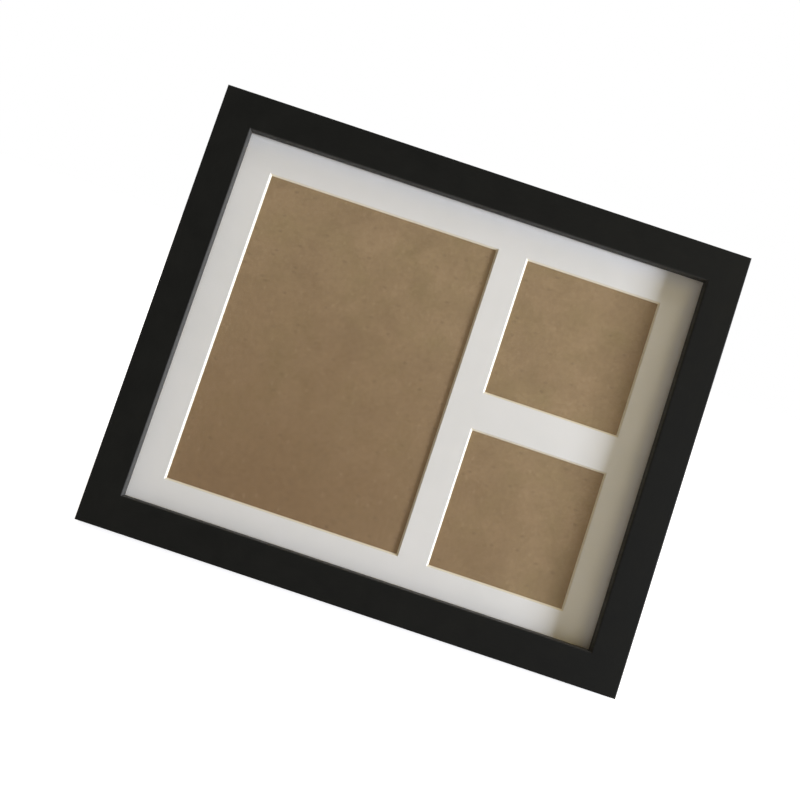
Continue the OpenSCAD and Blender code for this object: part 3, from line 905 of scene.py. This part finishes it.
def makeLegLeaf():
    piece = makeLeaf("leg_leaf_rolled", opened, "strut_leg_leaf", False, lambda x, side: abs(x) < side)
    spots = rivetSpots(opened, "strut_leg_rivets")[0]
    cutAway(piece, *rivetHoles(spots, outerHigh.y + 3 * mm))
    piece.data.transform(stand.inverted() @ opened)
    half = leaf["tongueWidth"] / 2
    front = outerHigh.y + leaf["tongueStandOff"]
    low = Vector((-half, front, hingePin.z + leaf["tongueRoot"] * leaf["knuckleRadius"]))
    high = Vector((half, front + leaf["thickness"], hingePin.z + leaf["tongueLength"]))
    tongue = addBox("tongue", low, high)
    pick(tongue, "EDGE", lambda edge: runsAlong(edge, 1) and near(midPoint(edge).z, high.z))
    bpy.ops.mesh.bevel(offset=leaf["tongueCorner"], segments=6, affect="EDGES")
    takeUp(tongue)
    fuse(piece, tongue)
    easeEdges(piece, leaf["edgeEase"])
    keepShapePoints(piece)
    piece.data.transform(stand)
    finishPiece(piece, [leafSteel], "hinge_steel", "strut", "strut_leg_leaf")


pin = {
    "radius": 1.2 * mm,
    "chamfer": 0.3 * mm,
    "light": (0.5, 0.49, 0.47),    # bare drawn wire
    "dark": (0.3, 0.29, 0.27),
    "rough": (0.2, 0.4),
    "drawn": (1, 16, 1),
    "lineSize": 0.15 * mm,
    "patchSize": 2.4 * mm,
    "relief": 0.005 * mm,
}


def makePin():
    low, high = boxIn(stand, "strut_hinge_pin")
    radius, chamfer = pin["radius"], pin["chamfer"]
    length = high.x - low.x
    profile = [
        (0, 0), (radius - chamfer, 0), (radius, chamfer),
        (radius, length - chamfer), (radius - chamfer, length), (0, length),
    ]
    piece = turnShape("hinge_pin_turned", profile)
    keepShapePoints(piece)
    piece.data.transform(stand @ moved(low.x, hingePin.y, hingePin.z) @ turned(-90, "Z"))
    finishPiece(piece, [metal("hinge pin wire", pin)], "hinge_steel", "frame", "strut_hinge_pin")


makeBoardLeaf()
makeLegLeaf()
makePin()
print("The strut's hinge is rolled and riveted")


# Turn buttons and their screws
button = {
    "headRadius": 4.5 * mm,
    "tipRadius": 2.6 * mm,
    "reach": 13.0 * mm,
    "holeRadius": 1.56 * mm,
    "topEdge": 0.3 * mm,
    "lowEdge": 0.08 * mm,
    "light": (0.6, 0.61, 0.63),    # zinc
    "dark": (0.38, 0.39, 0.41),
    "rough": (0.24, 0.44),
    "drawn": (1, 1, 14),
    "lineSize": 0.2 * mm,
    "patchSize": 3.1 * mm,
    "relief": 0.006 * mm,
}
armTurns = {"top": 180, "bottom": 0, "left": 90, "right": -90}
buttonBodies = [joint["child"] for joint in frame["joints"] if joint["name"].endswith("_button_turn")]


def buttonPlace(body):    # the screw's place on the frame's back, turned so that the arm points to the middle
    spot = stand.inverted() @ Vector(findJoint(body + "_turn")["pos_m"])
    return moved(spot.x, 0, spot.z) @ turned(armTurns[body.split("_")[0]], "Y")


def makeButtonShape():    # a round plate whose upper part is drawn out and narrowed to the tip
    low, high = boxIn(stand, "top_left_turn_button")
    takeUp(None)
    bpy.ops.mesh.primitive_circle_add(
        vertices=72, radius=button["headRadius"], fill_type="NGON",
        location=(0, low.y, 0), rotation=(math.pi / 2, 0, 0))
    piece = named("button_shape")
    flank = button["headRadius"] * (button["headRadius"] - button["tipRadius"]) / button["reach"]
    pick(piece, "VERT", lambda vert: vert.co.z > flank)
    share = button["tipRadius"] / button["headRadius"]
    bpy.ops.transform.resize(value=(share, 1, share), center_override=(0, low.y, 0))
    bpy.ops.transform.translate(value=(0, 0, button["reach"]))
    pickAll(piece, "FACE")
    bpy.ops.mesh.extrude_region_move(TRANSFORM_OT_translate={"value": (0, high.y - low.y, 0)})
    pickAll(piece)
    bpy.ops.mesh.normals_make_consistent(inside=False)
    takeUp(piece)
    start, end = Vector((0, low.y - mm, 0)), Vector((0, high.y + mm, 0))
    cutAway(piece, addRod("hole", button["holeRadius"], start, end, 48))
    for depth, width, segments in ((high.y, button["topEdge"], 3), (low.y, button["lowEdge"], 1)):
        pick(piece, "EDGE", lambda edge: liesAt(edge, depth))
        bpy.ops.mesh.bevel(offset=width, segments=segments, affect="EDGES")
    takeUp(piece)
    return piece


def makeButtons():
    shape = makeButtonShape()
    keepShapePoints(shape)
    look = metal("turn button zinc", button)
    for body in buttonBodies:
        piece = copyTo(shape, body + "_stamped", stand @ buttonPlace(body))
        finishPiece(piece, [look], "button_steel", body, body.replace("_button", "_turn_button"))
    bpy.data.objects.remove(shape)


screw = {
    "shankRadius": 1.5 * mm,
    "headRadius": 3.0 * mm,
    "headHeight": 1.7 * mm,
    "slotLength": 3.6 * mm,
    "slotWidth": 0.95 * mm,
    "slotDepth": 1.0 * mm,
    "slotTaper": (0.45, 1, 0.7),                 # its floor, as a share of its mouth
    "pointLength": 2.4 * mm,
    "rimEase": 0.1 * mm,
    "shoulderRadius": 0.9 * mm,
    "shoulderDrop": 1.15 * mm,                   # from the top to the middle of the shoulder's arc
    "crown": (0.4, 0.035),                       # the flat part's radius and drop, in head radii and heights
    "edgeEase": 0.05 * mm,
    "turns": [12, 63, 38, 81, 5, 49, 27, 70],    # how far each was left turned, in degrees
    "light": (0.68, 0.6, 0.44),                  # yellow zinc
    "dark": (0.47, 0.41, 0.29),
    "rough": (0.2, 0.38),
    "rings": 0.16 * mm,
    "patchSize": 1.5 * mm,
    "relief": 0.005 * mm,
}


def makeScrewShape():
    low, high = boxIn(stand, "turn_button_screws")
    top, radius, shank = high.y, screw["headRadius"], screw["shankRadius"]
    seat = top - screw["headHeight"]
    ease, shoulder = screw["rimEase"], screw["shoulderRadius"]
    middle = (radius - shoulder, top - screw["shoulderDrop"])
    profile = [
        (0, low.y), (shank, low.y + screw["pointLength"]), (shank, seat), (radius - ease, seat),
        (radius, seat + ease), *arc(middle, shoulder, 0, 60, 5),
        (radius * screw["crown"][0], top - screw["headHeight"] * screw["crown"][1]), (0, top),
    ]
    piece = turnShape("screw_shape", profile, 40)
    half, wide, deep = screw["slotLength"] / 2, screw["slotWidth"] / 2, screw["slotDepth"]
    for turn in (0, 90):
        wedge = addBox("slot", Vector((-half, top - deep, -wide)), Vector((half, top + deep, wide)))
        pick(wedge, "FACE", lambda face: face.normal.y < -0.9)
        bpy.ops.transform.resize(value=screw["slotTaper"], center_override=(0, top - deep, 0))
        takeUp(wedge)
        wedge.data.transform(turned(turn, "Y"))
        cutAway(piece, wedge)
    easeEdges(piece, screw["edgeEase"], 1)
    return piece


def makeScrews():
    shape = makeScrewShape()
    keepShapePoints(shape)
    copies = []
    for body, turn in zip(buttonBodies, screw["turns"]):
        copies.append(copyTo(shape, "screw_copy", buttonPlace(body) @ turned(turn, "Y")))
    screws = joined("button_screws_driven", copies)
    bpy.data.objects.remove(shape)
    screws.data.transform(stand)
    finishPiece(screws, [metal("screw yellow zinc", screw)], "screw_steel", "frame", "turn_button_screws")


makeButtons()
makeScrews()
print("Eight turn buttons are screwed on")


# Sawtooth hangers and their nails
hanger = {
    "endLength": 8.0 * mm,
    "rise": 1.8 * mm,
    "thickness": 0.8 * mm,
    "bendRadius": 0.7 * mm,
    "notches": 7,
    "pitch": 2.8 * mm,
    "notchHalf": 1.26 * mm,
    "notchDepth": 1.6 * mm,
    "holeRadius": 0.85 * mm,
    "edgeEase": 0.1 * mm,
    "light": (0.62, 0.58, 0.51),    # lightly brassed
    "dark": (0.42, 0.385, 0.33),
    "rough": (0.22, 0.42),
    "drawn": (20, 1, 1),
    "lineSize": 0.2 * mm,
    "patchSize": 3.4 * mm,
    "relief": 0.006 * mm,
}


def makeHangerShape():
    low, high = boxIn(stand, "top_sawtooth_hanger")
    length, width = high.x - low.x, high.z - low.z
    depth = low.y + hanger["thickness"] / 2
    ramp = length / 2 - hanger["endLength"]
    raised = ramp - hanger["rise"]
    takeUp(None)
    bpy.ops.mesh.primitive_plane_add(size=1, location=(0, depth, 0), rotation=(math.pi / 2, 0, 0))
    bpy.context.object.scale = (length, width, 1)
    piece = named("hanger_shape")
    for x in (-ramp, -raised, raised, ramp):
        pickAll(piece)
        bpy.ops.mesh.bisect(plane_co=(x, 0, 0), plane_no=(1, 0, 0))
    pick(piece, "VERT", lambda vert: abs(vert.co.x) < raised + closeBy)
    bpy.ops.transform.translate(value=(0, hanger["rise"], 0))
    pick(piece, "EDGE", lambda edge: runsAlong(edge, 2) and abs(midPoint(edge).x) < ramp + mm)
    bpy.ops.mesh.bevel(offset=hanger["bendRadius"], segments=4, affect="EDGES")
    takeUp(piece)
    applyModifier(piece, "SOLIDIFY", thickness=hanger["thickness"], offset=0, use_even_offset=True)
    cutters = []
    for i in range(hanger["notches"]):
        x = (i - (hanger["notches"] - 1) / 2) * hanger["pitch"]
        notch = addRod("notch", mm, Vector((0, 0, 0)), Vector((0, 2 * high.y, 0)), 4)
        stretch = (hanger["notchHalf"] / mm, 1, hanger["notchDepth"] / mm, 1)
        notch.data.transform(moved(x, 0, -width / 2) @ Matrix.Diagonal(stretch))
        cutters.append(notch)
    for side in (-1, 1):
        x = side * (length - hanger["endLength"]) / 2
        cutters.append(addRod("hole", hanger["holeRadius"], Vector((x, 0, 0)), Vector((x, 2 * high.y, 0))))
    cutAway(piece, *cutters)
    easeEdges(piece, hanger["edgeEase"])
    return piece


hangerNail = {
    "radius": 0.8 * mm,
    "headRadius": 1.9 * mm,
    "headHeight": 0.6 * mm,
    "pointLength": 1.3 * mm,
    "rim": [(0.08 * mm, 0), (0, 0.1 * mm)],    # steps in from the head's edge and up from its seat
    "crown": [(0, 0.25 * mm), (0.1 * mm, 0.12 * mm), (0.3 * mm, 0.04 * mm)],    # in, and down from its top
    "light": (0.5, 0.48, 0.45),    # bright wire nails
    "dark": (0.31, 0.29, 0.27),
    "rough": (0.24, 0.44),
    "rings": 0.22 * mm,
    "patchSize": 1.3 * mm,
    "relief": 0.006 * mm,
}


def makeNailShape():
    low, high = boxIn(stand, "hanger_nails")
    top, radius, head = high.y, hangerNail["radius"], hangerNail["headRadius"]
    seat = top - hangerNail["headHeight"]
    rim = [(head - inwards, seat + up) for inwards, up in hangerNail["rim"]]
    crown = [(head - inwards, top - down) for inwards, down in hangerNail["crown"]]
    point = [(0, low.y), (radius, low.y + hangerNail["pointLength"])]
    return turnShape("nail_shape", [*point, (radius, seat), *rim, *crown, (0, top)])


def makeHangers():
    shape, nail = makeHangerShape(), makeNailShape()
    keepShapePoints(shape)
    keepShapePoints(nail)
    look = metal("hanger brassed steel", hanger)
    nails = []
    for name, turn in (("top_sawtooth_hanger", 0), ("side_sawtooth_hanger", -90)):
        low, high = boxIn(stand, name)
        place = moved((low.x + high.x) / 2, 0, (low.z + high.z) / 2) @ turned(turn, "Y")
        piece = copyTo(shape, name + "_stamped", stand @ place)
        finishPiece(piece, [look], "hanger_steel", "frame", name)
        reach = (max(high.x - low.x, high.z - low.z) - hanger["endLength"]) / 2
        nails += [copyTo(nail, "nail_copy", stand @ place @ moved(side * reach, 0, 0)) for side in (-1, 1)]
    nails = joined("hanger_nails_driven", nails)
    finishPiece(nails, [metal("nail wire", hangerNail)], "nail_steel", "frame", "hanger_nails")
    bpy.data.objects.remove(shape)
    bpy.data.objects.remove(nail)


makeHangers()
print("Hangers are nailed on")


# Camera: where the picture was taken from, in the upright frame's place
cameraPlace = {
    "lens": 38.25,               # in mm, as the sensor's width
    "sensorWidth": 36,
    "clipStart": 10 * mm,
    "from": Vector((-6.0, -440.7, 83.8)) * mm,
    "at": Vector((-6.9, 0.0, 110.8)) * mm,
    "roll": 18.43,               # degrees by which the picture shows the frame turned clockwise
}


def addCamera():
    data = bpy.data.cameras.new("camera")
    data.lens = cameraPlace["lens"]
    data.sensor_width = cameraPlace["sensorWidth"]
    data.clip_start = cameraPlace["clipStart"]
    camera = bpy.data.objects.new("camera", data)
    bpy.context.collection.objects.link(camera)
    bpy.context.scene.camera = camera
    spot = stand @ cameraPlace["from"]
    back = (spot - stand @ cameraPlace["at"]).normalized()
    right = (stand.to_3x3() @ Vector((0, 0, 1))).cross(back).normalized()
    view = Matrix((right, back.cross(right), back)).transposed().to_4x4()
    camera.matrix_world = Matrix.Translation(spot) @ view @ turned(cameraPlace["roll"], "Z")


# Light: a wide window low over the face from the object's right, fills on the same side, one lamp
# behind, and a dim warm light all round. An angle counts from the object's right up over its top, a
# rise from its face outwards, both in degrees. Reach and size are in metres, power in watts.
lamps = {
    "window": {
        "angle": 0, "rise": 16, "reach": 3.0, "size": (0.61, 0.4), "power": 219, "colour": (0.81, 0.85, 1)},
    "side fill": {
        "angle": 60, "rise": 20, "reach": 1.5, "size": (0.4, 0.4), "power": 4.5, "colour": (1, 0.97, 0.95)},
    "warm fill": {
        "angle": 45, "rise": 40, "reach": 1.5, "size": (0.6, 0.6), "power": 1.8, "colour": (1, 0.72, 0.08)},
    "back lamp": {
        "angle": 105, "rise": -42, "reach": 1.4, "size": (0.9, 0.9), "power": 9, "colour": (1, 0.98, 0.95)},
}
surroundings = {"lit": (1.0, 0.8, 0.55), "level": 0.2}


def addLamp(name, given):
    data = bpy.data.lights.new(name, "AREA")
    data.shape = "RECTANGLE"
    data.size, data.size_y = given["size"]
    data.energy = given["power"]
    data.color = given["colour"]
    lamp = bpy.data.objects.new(name, data)
    bpy.context.collection.objects.link(lamp)
    angle, rise = math.radians(given["angle"]), math.radians(given["rise"])
    side = Vector((math.cos(angle) * math.cos(rise), -math.sin(rise), math.sin(angle) * math.cos(rise)))
    away = stand.to_3x3() @ side
    lamp.location = stand @ ((outerLow + outerHigh) / 2) + away * given["reach"]
    lamp.rotation_mode = "QUATERNION"
    lamp.rotation_quaternion = away.to_track_quat("Z", "Y")


def shownRays(tree):    # 1 for what the camera sees, also in gloss and through glass
    path = addNode(tree, "LightPath").outputs
    seen = sums(tree, "MAXIMUM", path["Is Camera Ray"], path["Is Glossy Ray"])
    return sums(tree, "MAXIMUM", seen, path["Is Transmission Ray"])


def addSurroundings():
    world = bpy.data.worlds.new("surroundings")
    world.use_nodes = True
    tree = world.node_tree
    tree.nodes.clear()
    lit = addNode(tree, "Background", {"Color": (*surroundings["lit"], 1), "Strength": surroundings["level"]})
    shown = addNode(tree, "Background", {"Color": (1, 1, 1, 1), "Strength": 1})
    both = addNode(tree, "MixShader", {0: shownRays(tree), 1: lit.outputs[0], 2: shown.outputs[0]})
    addNode(tree, "OutputWorld", {"Surface": both.outputs[0]})
    bpy.context.scene.world = world


floor = {"width": 8.0, "colour": (0.8, 0.8, 0.8), "lift": (0.8, 1.0), "liftReach": (0.5, 2.0)}


def addFloor():
    takeUp(None)
    bpy.ops.mesh.primitive_plane_add(size=floor["width"], location=(0, 0, 0))
    piece = named("studio_floor")
    material, tree = newMaterial("floor paper")
    away = addNode(tree, "VectorMath", {0: addNode(tree, "TexCoord").outputs["Object"]}, operation="LENGTH")
    lifted = spread(tree, away.outputs["Value"], *floor["liftReach"], *floor["lift"])    # white far off
    strength = sums(tree, "MULTIPLY", shownRays(tree), lifted)
    paper = addNode(tree, "BsdfDiffuse", {"Color": (*floor["colour"], 1)})
    lift = addNode(tree, "Emission", {"Color": (1, 1, 1, 1), "Strength": strength})
    both = addNode(tree, "AddShader", {0: paper.outputs[0], 1: lift.outputs[0]})
    addNode(tree, "OutputMaterial", {"Surface": both.outputs[0]})
    piece.data.materials.append(material)


addCamera()
addSurroundings()
addFloor()
for lampName, lampValues in lamps.items():
    addLamp(lampName, lampValues)
print("Camera, lights and floor are in")
